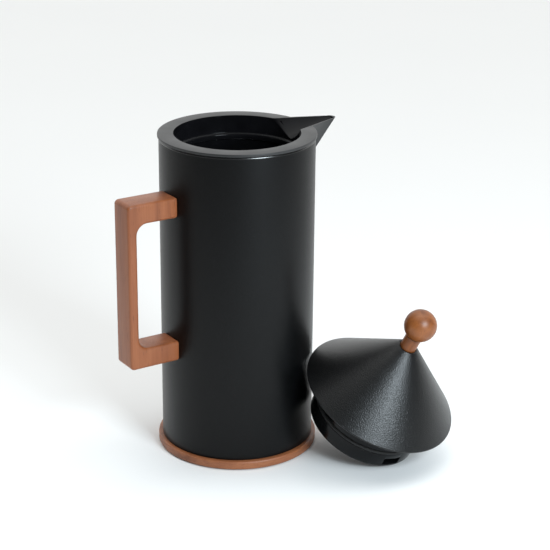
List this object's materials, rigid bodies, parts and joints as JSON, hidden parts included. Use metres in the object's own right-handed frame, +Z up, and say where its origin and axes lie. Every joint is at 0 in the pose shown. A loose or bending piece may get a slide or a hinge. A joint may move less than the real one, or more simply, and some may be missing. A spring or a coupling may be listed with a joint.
{
  "type": "insulated coffee jug with conical lid",
  "caption": "Tall cylindrical insulated coffee jug with a wooden handle, wooden base ring, pointed spout and a conical plug lid leaning beside it.",
  "frame": {"origin": "centre of the jug's flat foot, on the surface it stands on", "axes": "+Z up along the jug's axis, +X towards the spout, handle on -X"},
  "size_m": [0.2212, 0.1882, 0.234],
  "materials": {
    "powder_coat": "matt black powder coat",
    "collar_plastic": "satin black moulding, glossy inside the neck",
    "wood": "oiled reddish brown hardwood",
    "glass": "silvered clear glass",
    "gloss_plastic": "glossy black moulding",
    "seal_rubber": "soft black rubber",
    "hidden_plastic": "plain dark moulding",
    "steel": "zinc plated",
    "brass": "turned brass",
    "foam": "pale rigid foam",
    "pad_felt": "dark fibre and pad material"
  },
  "bodies": {
    "jug": {"outer_shell": "powder_coat", "collar": "collar_plastic", "neck_gasket": "seal_rubber", "liner_inner": "glass", "liner_outer": "glass", "liner_spacers": "pad_felt", "support_cup": "seal_rubber", "base_closure": "hidden_plastic", "ring_seat": "pad_felt", "base_ring": "wood", "base_screws": "steel", "foot_pad": "seal_rubber", "handle": "wood", "handle_inserts": "brass", "handle_plates": "steel", "handle_screws": "steel"},
    "knob_carry": {"knob_ball": "wood"},
    "lid_carry": {"plug_seal": "seal_rubber"},
    "lid": {"plug_base": "gloss_plastic", "plug_body": "gloss_plastic", "insulation_disc": "foam", "plate_spacer": "pad_felt", "lid_plate": "steel", "lid_screws": "steel", "lid_cone": "powder_coat", "cone_bracket": "steel", "core_tube": "steel", "knob_screw": "steel", "knob_washer": "steel", "knob_insert": "brass", "knob_neck": "wood"}
  },
  "joints": [
    {"name": "lid_swing", "type": "hinge", "parent": "jug", "child": "knob_carry", "pos_m": [0.12153, -0.15837, 0.2979], "axis": [-0.7933, -0.6088, 0], "range_deg": [0, 286.55]},
    {"name": "lid_level", "type": "hinge", "parent": "knob_carry", "child": "lid_carry", "pos_m": [0.08341, -0.10869, 0.10825], "axis": [-0.8404, -0.5409, -0.034], "range_deg": [-260.38, 0.5]},
    {"name": "lid_turn", "type": "hinge", "parent": "lid_carry", "child": "lid", "pos_m": [0.06727, -0.06508, 0.01893], "axis": [0.1602, -0.4331, 0.887], "range_deg": [0, 90]}
  ],
  "couplings": [
    {"joint": "lid_level", "follows": "lid_swing", "ratio": -0.9069}
  ]
}
